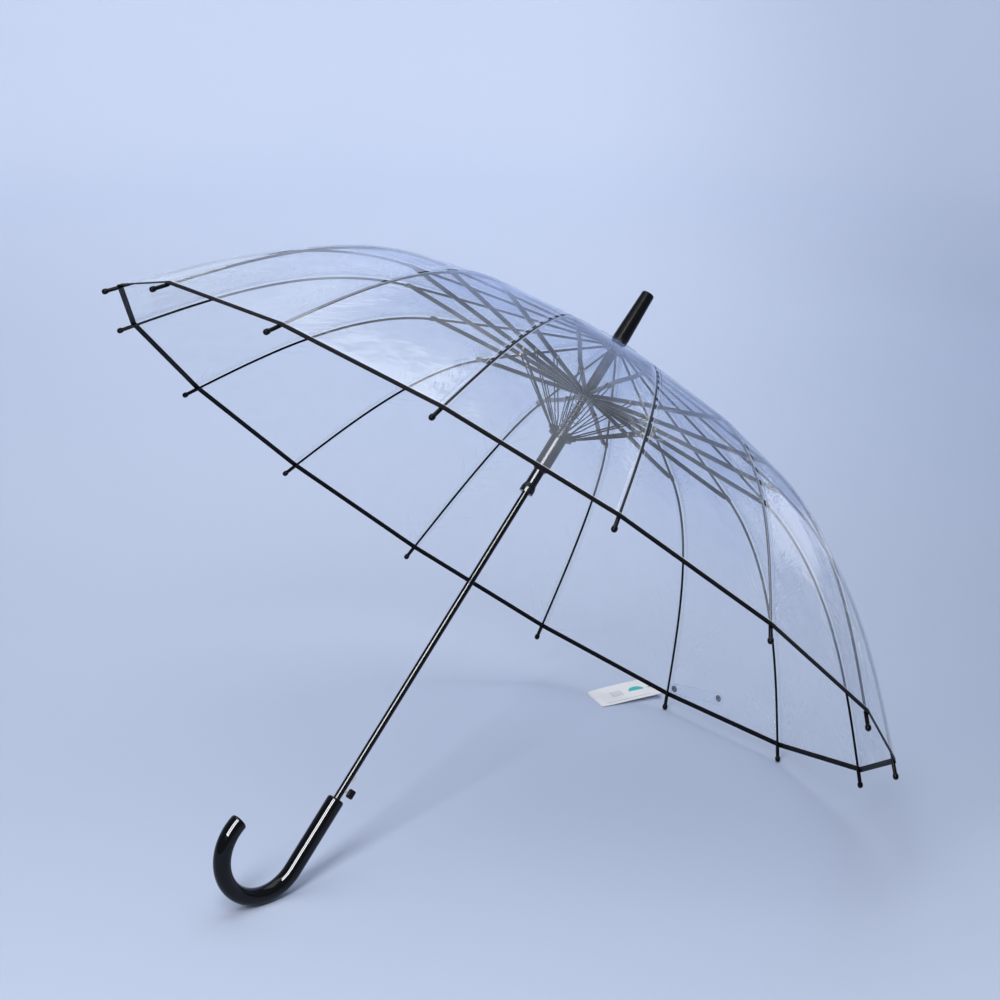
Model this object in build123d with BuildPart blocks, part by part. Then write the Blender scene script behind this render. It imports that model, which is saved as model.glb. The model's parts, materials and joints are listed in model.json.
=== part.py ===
"""Clear dome umbrella: an automatic stick umbrella, open and lying on its side.

Every piece is drawn upright, with the shaft on the Z axis and the ferrule up, and
is then leaned over so that the hook of the handle and the tips of two
neighbouring ribs touch the floor, Z = 0. The shaft leans in the XZ plane.
"""

from build123d import *
import math
import os

# ---- driving dimensions, in millimetres and degrees -------------------------------
RIB_COUNT = 16
PITCH = 360 / RIB_COUNT

SHAFT_RADIUS = 4.0
SHAFT_WALL = 0.7
SHAFT_TOP = 262.0
HANDLE_TOP = -342.0
SLIDE_GAP = 0.1                     # radial running clearance of what slides on the shaft

# ribs: nearly straight as far as the stretcher, then bent less and less to the tip
RIB_RADIUS = 1.4
CROWN_PIVOT = (12.5, 255.0)         # radius and height of the rib hinges
INNER_SLOPES = (11.5, 14.5)         # below horizontal, at the hinge and at the stretcher
INNER_LENGTH = 238.5
OUTER_LENGTH = 332.0
OUTER_BEND = 35.5
OUTER_ARCS = 6
RIB_EYE_RADIUS = 2.0
EYE_THICK = 2.2
RING_WIRE_RADIUS = 0.6
PIVOT_GAP = 0.08
CLIP_RADIUS, CLIP_LENGTH = 2.2, 9.0
BOSS_RADIUS, BOSS_FACE = 1.7, 2.5   # side boss of the clip, and how far its face stands out

# tip caps, measured outwards from the rib's tip
CAP_NECK_RADIUS, CAP_BULB_RADIUS = 2.2, 3.2
CAP_START, CAP_END = -3.0, 18.9
CAP_ROD_DEPTH = 9.0
CAP_CONE_START, CAP_CONE = 7.4, 2.0  # from the cap's end, where it widens to the bulb

# hubs that slide on the shaft
HUB_PIVOT_RADIUS = 11.5
UPPER_HUB_Z = 190.5
RUNNER_Z = 135.5
FLANGE_RADIUS, FLANGE_THICK = 14.5, 6.0
SLOT_WIDTH, SLOT_FLOOR, SLOT_MARGIN = 3.0, 9.3, 0.5
UPPER_SLEEVE_RADIUS, UPPER_SLEEVE_TOP = 6.0, 246.0
RUNNER_WIDE_RADIUS, RUNNER_WIDE_END = 9.4, 90.5
RUNNER_STEP = 0.4                   # by which the wide part is narrower under the flange
RUNNER_NECK_RADIUS, RUNNER_NECK_CONE = 6.45, 3.0
RUNNER_COLLAR_RADIUS, RUNNER_COLLAR_LENGTH, RUNNER_END = 8.2, 12.0, 58.5

# stretchers: pressed channels from the upper hub to the ribs, set over to one side
# at the outer end, so that they pass beside the rib
CHANNEL_WIDTH, CHANNEL_HEIGHT, CHANNEL_WALL = 2.9, 4.4, 0.5
TONGUE_LENGTH, TONGUE_LAP = 8.0, 2.5
SIDE_STEP = 4.0
STEP_SHARES = (0.45, 0.74)          # of the stretcher's length, where the side step starts and ends
STRUT_PIVOT_AT = 78.0               # along the stretcher, from the upper hub
RIVET_RADIUS = 0.7

# struts: two wires from the runner to the stretcher
WIRE_RADIUS = 0.7
WIRE_OFFSET = 2.35                  # of each wire from the strut's middle, and near its eye
WIRE_TOGETHER = 0.3
WIRE_SPREAD_AT = 20.0
WIRE_BEND = 15.0
WIRE_EYE_THICK = 1.6
STRUT_EYE_RADIUS = 1.8
STRUT_TONGUE = 6.0                  # flat end of the strut, in the runner's slot
RIVET_OUT = 0.3                     # the rivet's ends stand out past the wires

# opening spring between the two hubs
SPRING_RADIUS, SPRING_WIRE, SPRING_TURNS, SPRING_GAP = 6.8, 0.65, 8, 0.2

# crown, ferrule
CROWN_RADIUS, CROWN_BOTTOM, CROWN_TOP = 15.5, 250.5, 258.4
CROWN_NECK_RADIUS, CROWN_NECK_TOP = 9.2, 267.5
FERRULE_BASE_RADIUS, FERRULE_END_RADIUS, FERRULE_TOP = 9.4, 7.4, 329.0
FERRULE_END_FILLET = 2.5

# canopy film and hem
FILM = 0.4
FILM_OFFSET = 2.7                   # from the ribs' centrelines to the film
FILM_CENTRE = (10.0, 261.5)
FILM_JOINS_RIB_AT = 50.0            # distance along the rib where the film comes down to it
FILM_BAND_ENDS = (240.0, 310.0, 400.0)  # each gore is built in bands, cut at these distances
FILM_BAND_STEPS = 5
HEM_WIDTH, HEM_THICK = 8.0, 0.8
HEM_PAST_RIB = 1.0                  # the hem's edge, past the rib's own end
GORE_MARGIN = 20.0                  # a panel is drawn this much too wide and cut at the ribs
ROSETTE_RADIUS, ROSETTE_LIFT = 38.0, 1.2

# handle: a crook, straight and then round the hook
HANDLE_RADIUS = 9.8
HOOK_RADIUS = 53.0
HOOK_CENTRE = (-HOOK_RADIUS, -432.5)
HOOK_SWEEP = 196.0
HANDLE_SOCKET = 30.0                # depth of the shaft in the handle
HANDLE_EDGE_FILLET = 3.0

# release button and catch, on one leaf inside the shaft
BUTTON_TURN = -45.0                 # round the shaft, from the side away from the hook
BUTTON_Z = -330.0
BUTTON_WIDTH, BUTTON_HEIGHT = 8.5, 10.7
BUTTON_CORNER, BUTTON_FILLET = 3.0, 2.0
BUTTON_INNER, BUTTON_OUTER = 6.8, 15.0
BUTTON_STEM_RADIUS = 1.5
LEAF_INNER, LEAF_THICK = -0.5, 0.6
CATCH_Z = -314.0
CATCH_WIDTH, CATCH_HEIGHT, CATCH_REACH = 1.8, 7.0, 6.0

# closing strap with its two snaps, on the gore between the first and the last rib:
# each snap's place is (across the gore, up the film from the hem's edge)
STRAP_WIDTH, STRAP_THICK, STRAP_OVERHANG = 16.0, 0.4, 9.0
STRAP_LIFT = 0.9                    # from the film to the strap, to clear the hem
SNAPS = ((11.8, 25.4), (90.0, 11.5))
SNAP_RADIUS, SNAP_THICK, SNAP_FILLET = 4.3, 1.4, 0.1

# hang tag: a card on the floor under the hem, its far end a little raised
TAG_LENGTH, TAG_WIDTH, TAG_THICK = 85.0, 52.0, 0.6
TAG_CORNER = (-59.0, 56.0)          # near corner, from below the tip of the first rib
TAG_HEADING, TAG_RISE = -17.3, 4.0
TAG_FLOOR_GAP = 0.2
TAG_CORNER_RADIUS = 2.0
TAG_HOLE_RADIUS, TAG_HOLE_IN = 2.0, 6.0


# ---- shape of a rib ----------------------------------------------------------------
def outer_slope(share):
    """Slope below horizontal at a share of the outer length: the bend fades to the tip."""
    return INNER_SLOPES[1] + OUTER_BEND * (2 * share - share**2)


def rib_arcs():
    """The arcs of a rib's centreline, from hinge to tip: (length, start slope, end slope)."""
    arcs = [(INNER_LENGTH, *INNER_SLOPES)]
    for i in range(OUTER_ARCS):
        arcs.append(
            (OUTER_LENGTH / OUTER_ARCS, outer_slope(i / OUTER_ARCS), outer_slope((i + 1) / OUTER_ARCS))
        )
    return arcs


def rib_point(distance):
    """(radius, height, slope) on the centreline at a distance from the hinge."""
    x, z = CROWN_PIVOT
    for length, first, last in rib_arcs():
        run = min(distance, length)
        turn = (last - first) * run / length
        radius = length / math.radians(last - first)
        a, b = math.radians(first), math.radians(first + turn)
        x += radius * (math.sin(b) - math.sin(a))
        z += radius * (math.cos(b) - math.cos(a))
        slope = first + turn
        distance -= run
        if distance <= 0:
            return x, z, slope
    return x + distance * math.cos(math.radians(slope)), z - distance * math.sin(math.radians(slope)), slope


RIB_LENGTH = INNER_LENGTH + OUTER_LENGTH
JOINT_X, JOINT_Z, JOINT_SLOPE = rib_point(INNER_LENGTH)
TIP_X, TIP_Z, TIP_SLOPE = rib_point(RIB_LENGTH)
BULB_X, BULB_Z, _ = rib_point(RIB_LENGTH + CAP_END - CAP_BULB_RADIUS)


# ---- stance: the lean that puts the hook and two tips on the floor -----------------
def lean_angle():
    """Angle of the shaft above the floor."""
    hook_low = HOOK_RADIUS + HANDLE_RADIUS
    across = BULB_X * math.cos(math.radians(PITCH / 2)) - HOOK_CENTRE[0]
    along = HOOK_CENTRE[1] - BULB_Z
    reach = math.hypot(across, along)
    level = math.acos((hook_low - CAP_BULB_RADIUS) / reach)
    return math.degrees(level + math.atan2(along, across))


LEAN = lean_angle()
TILT = Rotation(0, 90 - LEAN, 0)

# ---- linkage, in the plane of one rib: (radius, height) ----------------------------
HUB_POINT = (HUB_PIVOT_RADIUS, UPPER_HUB_Z)
RUNNER_POINT = (HUB_PIVOT_RADIUS, RUNNER_Z)
STRETCHER_LENGTH = math.dist(HUB_POINT, (JOINT_X, JOINT_Z))
STRETCHER_RISE = math.degrees(math.atan2(JOINT_Z - UPPER_HUB_Z, JOINT_X - HUB_PIVOT_RADIUS))
STRUT_POINT = (
    HUB_PIVOT_RADIUS + STRUT_PIVOT_AT * math.cos(math.radians(STRETCHER_RISE)),
    UPPER_HUB_Z + STRUT_PIVOT_AT * math.sin(math.radians(STRETCHER_RISE)),
)
STRUT_LENGTH = math.dist(RUNNER_POINT, STRUT_POINT)
STRUT_RISE = math.degrees(
    math.atan2(STRUT_POINT[1] - RUNNER_Z, STRUT_POINT[0] - HUB_PIVOT_RADIUS)
)


def link_plane(start, rise):
    """A plane with X along a link in the rib's plane, and Z square to the rib's plane."""
    a = math.radians(rise)
    return Plane(
        origin=(start[0], 0, start[1]), x_dir=(math.cos(a), 0, math.sin(a)), z_dir=(0, -1, 0)
    )


def height_plane(height):
    return Plane.XY.offset(height)


# ---- shaft and handle --------------------------------------------------------------
BUTTON_FACE = Plane(
    origin=(0, 0, 0),
    x_dir=(-math.sin(math.radians(BUTTON_TURN)), math.cos(math.radians(BUTTON_TURN)), 0),
    z_dir=(math.cos(math.radians(BUTTON_TURN)), math.sin(math.radians(BUTTON_TURN)), 0),
)
with BuildPart() as shaft:
    with BuildSketch(height_plane(HANDLE_TOP - HANDLE_SOCKET)):
        Circle(SHAFT_RADIUS)
        Circle(SHAFT_RADIUS - SHAFT_WALL, mode=Mode.SUBTRACT)
    extrude(amount=SHAFT_TOP - HANDLE_TOP + HANDLE_SOCKET)
    with BuildSketch(BUTTON_FACE):
        with Locations((0, BUTTON_Z)):
            Circle(BUTTON_STEM_RADIUS + PIVOT_GAP)
        with Locations((0, CATCH_Z)):
            Rectangle(CATCH_WIDTH + 2 * SLIDE_GAP, CATCH_HEIGHT + 2 * SLIDE_GAP)
    extrude(amount=2 * SHAFT_RADIUS, mode=Mode.SUBTRACT)

with BuildPart() as handle:
    with BuildLine(Plane.XZ):
        stem = Line((0, HANDLE_TOP), (0, HOOK_CENTRE[1]))
        JernArc(start=stem @ 1, tangent=stem % 1, radius=HOOK_RADIUS, arc_size=-HOOK_SWEEP)
    with BuildSketch(height_plane(HANDLE_TOP)):
        Circle(HANDLE_RADIUS)
    sweep()
    fillet(handle.edges().filter_by(GeomType.CIRCLE), radius=HANDLE_EDGE_FILLET)
    with BuildSketch(height_plane(HANDLE_TOP)):
        Circle(SHAFT_RADIUS)
    extrude(amount=-HANDLE_SOCKET, mode=Mode.SUBTRACT)

# ---- release button with its catch -------------------------------------------------
with BuildPart() as release_button:
    with BuildSketch(BUTTON_FACE.offset(BUTTON_INNER)):
        with Locations((0, BUTTON_Z)):
            RectangleRounded(BUTTON_WIDTH, BUTTON_HEIGHT, BUTTON_CORNER)
    extrude(amount=BUTTON_OUTER - BUTTON_INNER)
    fillet(release_button.edges().filter_by(BUTTON_FACE), radius=BUTTON_FILLET)
    with BuildSketch(BUTTON_FACE.offset(LEAF_INNER)):
        with Locations((0, BUTTON_Z)):
            Circle(BUTTON_STEM_RADIUS)
    extrude(amount=BUTTON_INNER - LEAF_INNER)
    with BuildSketch(BUTTON_FACE.offset(LEAF_INNER)):
        with Locations((0, (CATCH_Z + BUTTON_Z) / 2)):
            Rectangle(CATCH_WIDTH, CATCH_Z - BUTTON_Z + CATCH_HEIGHT)
    extrude(amount=LEAF_THICK)
    with BuildSketch(BUTTON_FACE.offset(LEAF_INNER)):
        with Locations((0, CATCH_Z)):
            Rectangle(CATCH_WIDTH, CATCH_HEIGHT)
    extrude(amount=CATCH_REACH - LEAF_INNER)

# ---- crown and ferrule -------------------------------------------------------------
with BuildPart() as crown:
    with BuildSketch(height_plane(CROWN_BOTTOM)):
        Circle(CROWN_RADIUS)
    extrude(amount=CROWN_TOP - CROWN_BOTTOM)
    with BuildSketch(height_plane(CROWN_TOP)):
        Circle(CROWN_NECK_RADIUS)
    extrude(amount=CROWN_NECK_TOP - CROWN_TOP)
    with BuildSketch(height_plane(CROWN_BOTTOM)):
        with PolarLocations((CROWN_RADIUS + SLOT_FLOOR) / 2, RIB_COUNT, start_angle=PITCH / 2):
            Rectangle(CROWN_RADIUS - SLOT_FLOOR + 2 * SLOT_MARGIN, SLOT_WIDTH)
    extrude(amount=CROWN_PIVOT[1] + RIB_EYE_RADIUS + SLOT_MARGIN - CROWN_BOTTOM, mode=Mode.SUBTRACT)
    with BuildSketch(height_plane(CROWN_BOTTOM)):
        Circle(SHAFT_RADIUS)
    extrude(amount=SHAFT_TOP - CROWN_BOTTOM, mode=Mode.SUBTRACT)
    with Locations((0, 0, CROWN_PIVOT[1])):
        Torus(CROWN_PIVOT[0], RING_WIRE_RADIUS)

with BuildPart() as ferrule:
    with BuildSketch(height_plane(CROWN_NECK_TOP)):
        Circle(FERRULE_BASE_RADIUS)
    with BuildSketch(height_plane(FERRULE_TOP)):
        Circle(FERRULE_END_RADIUS)
    loft()
    fillet(ferrule.faces().sort_by(Axis.Z)[-1].edges(), radius=FERRULE_END_FILLET)


# ---- hubs --------------------------------------------------------------------------
def slotted_flange(height):
    """A flange with a radial slot for each link, open above and below."""
    with BuildPart() as flange:
        with BuildSketch(height_plane(height - FLANGE_THICK / 2)):
            Circle(FLANGE_RADIUS)
            slot_middle = (FLANGE_RADIUS + SLOT_FLOOR) / 2 + SLOT_MARGIN
            with PolarLocations(slot_middle, RIB_COUNT, start_angle=PITCH / 2):
                Rectangle(FLANGE_RADIUS - SLOT_FLOOR + 2 * SLOT_MARGIN, SLOT_WIDTH, mode=Mode.SUBTRACT)
        extrude(amount=FLANGE_THICK)
    return flange.part


upper_flange = slotted_flange(UPPER_HUB_Z)
with BuildPart() as upper_hub:
    add(upper_flange)
    with BuildSketch(height_plane(UPPER_HUB_Z)):
        Circle(UPPER_SLEEVE_RADIUS)
    extrude(amount=UPPER_SLEEVE_TOP - UPPER_HUB_Z)
    with BuildSketch(height_plane(UPPER_HUB_Z - FLANGE_THICK)):
        Circle(SHAFT_RADIUS + SLIDE_GAP)
    extrude(amount=UPPER_SLEEVE_TOP - UPPER_HUB_Z + FLANGE_THICK, mode=Mode.SUBTRACT)

runner_flange = slotted_flange(RUNNER_Z)
with BuildPart() as runner:
    add(runner_flange)
    with BuildSketch(Plane.XZ):
        with BuildLine():
            Polyline(
                (0, RUNNER_Z),
                (RUNNER_WIDE_RADIUS - RUNNER_STEP, RUNNER_Z),
                (RUNNER_WIDE_RADIUS - RUNNER_STEP, RUNNER_Z - FLANGE_THICK / 2),
                (RUNNER_WIDE_RADIUS, RUNNER_Z - FLANGE_THICK),
                (RUNNER_WIDE_RADIUS, RUNNER_WIDE_END),
                (RUNNER_NECK_RADIUS, RUNNER_WIDE_END - RUNNER_NECK_CONE),
                (RUNNER_NECK_RADIUS, RUNNER_END + RUNNER_COLLAR_LENGTH),
                (RUNNER_COLLAR_RADIUS, RUNNER_END + RUNNER_COLLAR_LENGTH / 2),
                (RUNNER_COLLAR_RADIUS, RUNNER_END),
                (0, RUNNER_END),
                close=True,
            )
        make_face()
    revolve(axis=Axis.Z)
    with BuildSketch(height_plane(RUNNER_END)):
        Circle(SHAFT_RADIUS + SLIDE_GAP)
    extrude(amount=RUNNER_Z - RUNNER_END + FLANGE_THICK, mode=Mode.SUBTRACT)

SPRING_BOTTOM = RUNNER_Z + FLANGE_THICK / 2 + SPRING_WIRE + SPRING_GAP
SPRING_TOP = UPPER_HUB_Z - FLANGE_THICK / 2 - SPRING_WIRE - SPRING_GAP
SPRING_PITCH = (SPRING_TOP - SPRING_BOTTOM) / SPRING_TURNS
with BuildPart() as spring:
    with BuildLine():
        coil = Helix(
            pitch=SPRING_PITCH,
            height=SPRING_TOP - SPRING_BOTTOM,
            radius=SPRING_RADIUS,
            center=(0, 0, SPRING_BOTTOM),
        )
    with BuildSketch(Plane(origin=coil @ 0, z_dir=coil % 0)):
        Circle(SPRING_WIRE)
    sweep(is_frenet=True)


# ---- one rib, stretcher and strut, drawn in the XZ plane ---------------------------
with BuildPart() as rib_rod:
    with BuildLine(Plane.XZ) as rib_line:
        at, heading = CROWN_PIVOT, (
            math.cos(math.radians(INNER_SLOPES[0])),
            -math.sin(math.radians(INNER_SLOPES[0])),
        )
        for length, first, last in rib_arcs():
            bend = last - first
            arc = JernArc(start=at, tangent=heading, radius=length / math.radians(bend), arc_size=-bend)
            at, heading = (
                ((arc @ 1).X, (arc @ 1).Z),
                (math.cos(math.radians(last)), -math.sin(math.radians(last))),
            )
        Line(at, (at[0] + CAP_ROD_DEPTH * heading[0], at[1] + CAP_ROD_DEPTH * heading[1]))
    with BuildSketch(Plane(origin=rib_line.line @ 0, z_dir=rib_line.line % 0)):
        Circle(RIB_RADIUS)
    sweep()
    with BuildSketch(link_plane(CROWN_PIVOT, 0).offset(-EYE_THICK / 2)):
        Circle(RIB_EYE_RADIUS)
    extrude(amount=EYE_THICK)
    with BuildSketch(link_plane(CROWN_PIVOT, 0).offset(-SLOT_WIDTH)):
        Circle(RING_WIRE_RADIUS + PIVOT_GAP)
    extrude(amount=2 * SLOT_WIDTH, mode=Mode.SUBTRACT)
    clip_plane = link_plane((JOINT_X, JOINT_Z), -JOINT_SLOPE)
    with BuildSketch(
        Plane(
            origin=clip_plane.from_local_coords((-CLIP_LENGTH / 2, 0, 0)),
            z_dir=clip_plane.x_dir,
        )
    ):
        Circle(CLIP_RADIUS)
    extrude(amount=CLIP_LENGTH)
    with BuildSketch(clip_plane):
        Circle(BOSS_RADIUS)
    extrude(amount=-BOSS_FACE)

TIP_DIRECTION = (math.cos(math.radians(TIP_SLOPE)), 0, -math.sin(math.radians(TIP_SLOPE)))
with BuildPart() as tip_cap:
    with BuildSketch(
        Plane(origin=(TIP_X, 0, TIP_Z), x_dir=(0, 1, 0), z_dir=(TIP_DIRECTION[2], 0, -TIP_DIRECTION[0]))
    ) as cap_profile:
        with BuildLine():
            neck_end = CAP_END - CAP_CONE_START
            Line((RIB_RADIUS, CAP_START), (CAP_NECK_RADIUS, CAP_START))
            Line((CAP_NECK_RADIUS, CAP_START), (CAP_NECK_RADIUS, neck_end))
            Line((CAP_NECK_RADIUS, neck_end), (CAP_BULB_RADIUS, neck_end + CAP_CONE))
            Line((CAP_BULB_RADIUS, neck_end + CAP_CONE), (CAP_BULB_RADIUS, CAP_END - CAP_BULB_RADIUS))
            RadiusArc(
                (CAP_BULB_RADIUS, CAP_END - CAP_BULB_RADIUS), (0, CAP_END), -CAP_BULB_RADIUS
            )
            Line((0, CAP_END), (0, CAP_ROD_DEPTH))
            Line((0, CAP_ROD_DEPTH), (RIB_RADIUS, CAP_ROD_DEPTH))
            Line((RIB_RADIUS, CAP_ROD_DEPTH), (RIB_RADIUS, CAP_START))
        make_face()
    revolve(axis=Axis((TIP_X, 0, TIP_Z), TIP_DIRECTION))


def band(route, low, high):
    """A closed outline along a route, between two sideways offsets."""
    return [(x, y + low) for x, y in route] + [(x, y + high) for x, y in reversed(route)]


stretcher_plan = link_plane(HUB_POINT, STRETCHER_RISE)
stretcher_plan = Plane(origin=stretcher_plan.origin, x_dir=stretcher_plan.x_dir, z_dir=stretcher_plan.y_dir)
STEP_FROM, STEP_TO = [share * STRETCHER_LENGTH for share in STEP_SHARES]
with BuildPart() as stretcher:
    route = [
        (TONGUE_LENGTH - TONGUE_LAP, 0),
        (STEP_FROM, 0),
        (STEP_TO, SIDE_STEP),
        (STRETCHER_LENGTH - TONGUE_LAP, SIDE_STEP),
    ]
    half = CHANNEL_WIDTH / 2
    with BuildSketch(stretcher_plan.offset(-CHANNEL_HEIGHT / 2)):
        with BuildLine():
            Polyline(*band(route, -half, half), close=True)
        make_face()
    extrude(amount=CHANNEL_WALL)
    with BuildSketch(stretcher_plan.offset(-CHANNEL_HEIGHT / 2)):
        with BuildLine():
            Polyline(*band(route, -half, CHANNEL_WALL - half), close=True)
        make_face()
        with BuildLine():
            Polyline(*band(route, half - CHANNEL_WALL, half), close=True)
        make_face()
    extrude(amount=CHANNEL_HEIGHT)
    tongue = link_plane(HUB_POINT, STRETCHER_RISE).offset(-EYE_THICK / 2)
    with BuildSketch(tongue):
        with Locations((TONGUE_LENGTH / 2, 0)):
            SlotOverall(TONGUE_LENGTH + 2 * STRUT_EYE_RADIUS, 2 * STRUT_EYE_RADIUS)
    extrude(amount=EYE_THICK)
    outer_tongue = link_plane(HUB_POINT, STRETCHER_RISE).offset(-SIDE_STEP - EYE_THICK / 2)
    with BuildSketch(outer_tongue):
        with Locations((STRETCHER_LENGTH - TONGUE_LENGTH / 2, 0)):
            SlotOverall(TONGUE_LENGTH + 2 * STRUT_EYE_RADIUS, 2 * STRUT_EYE_RADIUS)
    extrude(amount=EYE_THICK)
    with BuildSketch(link_plane(HUB_POINT, STRETCHER_RISE).offset(-SLOT_WIDTH)):
        with Locations((STRUT_PIVOT_AT, 0)):
            Circle(RIVET_RADIUS + PIVOT_GAP)
    extrude(amount=2 * SLOT_WIDTH, mode=Mode.SUBTRACT)

strut_plan = link_plane(RUNNER_POINT, STRUT_RISE)
with BuildPart() as strut:
    with BuildSketch(strut_plan.offset(-EYE_THICK / 2)):
        with Locations((STRUT_TONGUE / 2, 0)):
            SlotOverall(STRUT_TONGUE + 2 * STRUT_EYE_RADIUS, 2 * STRUT_EYE_RADIUS)
    extrude(amount=EYE_THICK)
    for side in (-1, 1):
        with BuildLine(strut_plan):
            wire = FilletPolyline(
                (STRUT_TONGUE - 2, 0, side * WIRE_TOGETHER),
                (STRUT_TONGUE + 1, 0, side * WIRE_TOGETHER),
                (WIRE_SPREAD_AT, 0, side * WIRE_OFFSET),
                (STRUT_LENGTH, 0, side * WIRE_OFFSET),
                radius=WIRE_BEND,
            )
        with BuildSketch(Plane(origin=wire @ 0, z_dir=wire % 0)):
            Circle(WIRE_RADIUS)
        sweep(path=wire)
        with BuildSketch(strut_plan.offset(side * WIRE_OFFSET - WIRE_EYE_THICK / 2)):
            with Locations((STRUT_LENGTH, 0)):
                Circle(STRUT_EYE_RADIUS)
        extrude(amount=WIRE_EYE_THICK)
    with BuildSketch(strut_plan.offset(-WIRE_OFFSET - WIRE_RADIUS - RIVET_OUT)):
        with Locations((STRUT_LENGTH, 0)):
            Circle(RIVET_RADIUS)
    extrude(amount=2 * (WIRE_OFFSET + WIRE_RADIUS + RIVET_OUT))


# ---- canopy: flat-cut gores between the ribs ---------------------------------------
def film_line(offset, first, last, steps):
    """Points of the film's section in a rib's plane, at an offset outside the ribs."""
    points = []
    for i in range(steps + 1):
        x, z, slope = rib_point(first + (last - first) * i / steps)
        a = math.radians(slope)
        points.append((x + offset * math.sin(a), z + offset * math.cos(a)))
    return points


def gore(inner, outer):
    """A panel between two ribs, from the two faces of its section in the rib's plane.
    Between the ribs the film runs straight, so its middle is nearer to the shaft."""
    flat = math.cos(math.radians(PITCH / 2))
    with BuildPart() as panel:
        with BuildSketch(Plane.XZ):
            with BuildLine():
                Polyline(*[(x * flat, z) for x, z in inner + outer[::-1]], close=True)
            make_face()
        extrude(amount=TIP_X * math.sin(math.radians(PITCH / 2)) + GORE_MARGIN, both=True)
        for side in (-1, 1):
            a = math.radians(side * PITCH / 2)
            split(
                bisect_by=Plane(origin=(0, 0, 0), z_dir=(-math.sin(a) * side, math.cos(a) * side, 0)),
                keep=Keep.BOTTOM,
            )
    return panel.part


HEM_END = RIB_LENGTH + HEM_PAST_RIB
HEM_TOP = HEM_END - HEM_WIDTH
film_panels = []
band_ends = [FILM_JOINS_RIB_AT, *FILM_BAND_ENDS, HEM_TOP]
for first, last in zip(band_ends, band_ends[1:]):
    film_inner = film_line(FILM_OFFSET, first, last, FILM_BAND_STEPS)
    film_outer = film_line(FILM_OFFSET + FILM, first, last, FILM_BAND_STEPS)
    if first == FILM_JOINS_RIB_AT:
        film_inner.insert(0, FILM_CENTRE)
        film_outer.insert(0, (FILM_CENTRE[0], FILM_CENTRE[1] + FILM))
    film_panels.append(gore(film_inner, film_outer))
with BuildPart() as rosette:
    rosette_z = FILM_CENTRE[1] + FILM + ROSETTE_LIFT
    fall = math.tan(math.radians(INNER_SLOPES[1]))
    rosette_low = rosette_z - (ROSETTE_RADIUS - FILM_CENTRE[0]) * fall
    with BuildSketch(Plane.XZ):
        with BuildLine():
            Polyline(
                (FILM_CENTRE[0], rosette_z),
                (ROSETTE_RADIUS, rosette_low),
                (ROSETTE_RADIUS, rosette_low + FILM),
                (FILM_CENTRE[0], rosette_z + FILM),
                close=True,
            )
        make_face()
    revolve(axis=Axis.Z)

hem_panel = gore(
    film_line(FILM_OFFSET - (HEM_THICK - FILM) / 2, HEM_TOP, HEM_END, 1),
    film_line(FILM_OFFSET + (HEM_THICK + FILM) / 2, HEM_TOP, HEM_END, 1),
)

# ---- closing strap -----------------------------------------------------------------
edge_x, edge_z, edge_slope = rib_point(RIB_LENGTH)
flat = math.cos(math.radians(PITCH / 2))
up_film = Vector(-math.cos(math.radians(edge_slope)) * flat, 0, math.sin(math.radians(edge_slope)))
out_of_film = Vector(0, 1, 0).cross(up_film)
strap_face = Plane(
    origin=Vector(edge_x * flat, 0, edge_z) + out_of_film.normalized() * (FILM_OFFSET + FILM + STRAP_LIFT),
    x_dir=(0, 1, 0),
    z_dir=out_of_film,
)
strap_run = Vector(SNAPS[1][0] - SNAPS[0][0], SNAPS[1][1] - SNAPS[0][1], 0)
strap_angle = math.degrees(math.atan2(strap_run.Y, strap_run.X))
with BuildPart() as strap:
    with BuildSketch(strap_face):
        middle = ((SNAPS[0][0] + SNAPS[1][0]) / 2, (SNAPS[0][1] + SNAPS[1][1]) / 2)
        with Locations(Location(middle, strap_angle)):
            SlotOverall(strap_run.length + 2 * STRAP_OVERHANG, STRAP_WIDTH)
    extrude(amount=STRAP_THICK)
with BuildPart() as snaps:
    with BuildSketch(strap_face.offset(STRAP_THICK)):
        with Locations(*SNAPS):
            Circle(SNAP_RADIUS)
    extrude(amount=SNAP_THICK)
    outward = Axis(strap_face.origin, strap_face.z_dir)
    fillet(snaps.faces().sort_by(outward)[-len(SNAPS) :].edges(), radius=SNAP_FILLET)

# ---- all pieces, upright ------------------------------------------------------------
def round_the_shaft(panel):
    """Copies of a panel, one in each gap between ribs."""
    return [Rotation(0, 0, i * PITCH) * panel for i in range(RIB_COUNT)]


pieces = {
    "shaft": shaft.part,
    "handle": handle.part,
    "release_button": release_button.part,
    "crown": crown.part,
    "ferrule": ferrule.part,
    "upper_hub": upper_hub.part,
    "runner": runner.part,
    "spring": spring.part,
    "canopy": Compound(
        children=[part for panel in film_panels for part in round_the_shaft(panel)] + [rosette.part]
    ),
    "hem": Compound(children=round_the_shaft(hem_panel)),
    "closing_strap": Compound(children=[strap.part, *snaps.part.solids()]),
}
for i in range(RIB_COUNT):
    turn = Rotation(0, 0, (i + 0.5) * PITCH)
    number = f"{i + 1:02d}"
    pieces[f"rib_{number}"] = Compound(children=[turn * rib_rod.part, turn * tip_cap.part])
    pieces[f"stretcher_{number}"] = turn * stretcher.part
    pieces[f"strut_{number}"] = turn * strut.part

# ---- lean the umbrella over and lay the tag on the floor -----------------------------
leaned = {name: TILT * piece for name, piece in pieces.items()}
floor = min(piece.bounding_box().min.Z for piece in leaned.values())
first_tip = (TILT * Rotation(0, 0, PITCH / 2) * Pos(TIP_X, 0, TIP_Z)).position

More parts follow.
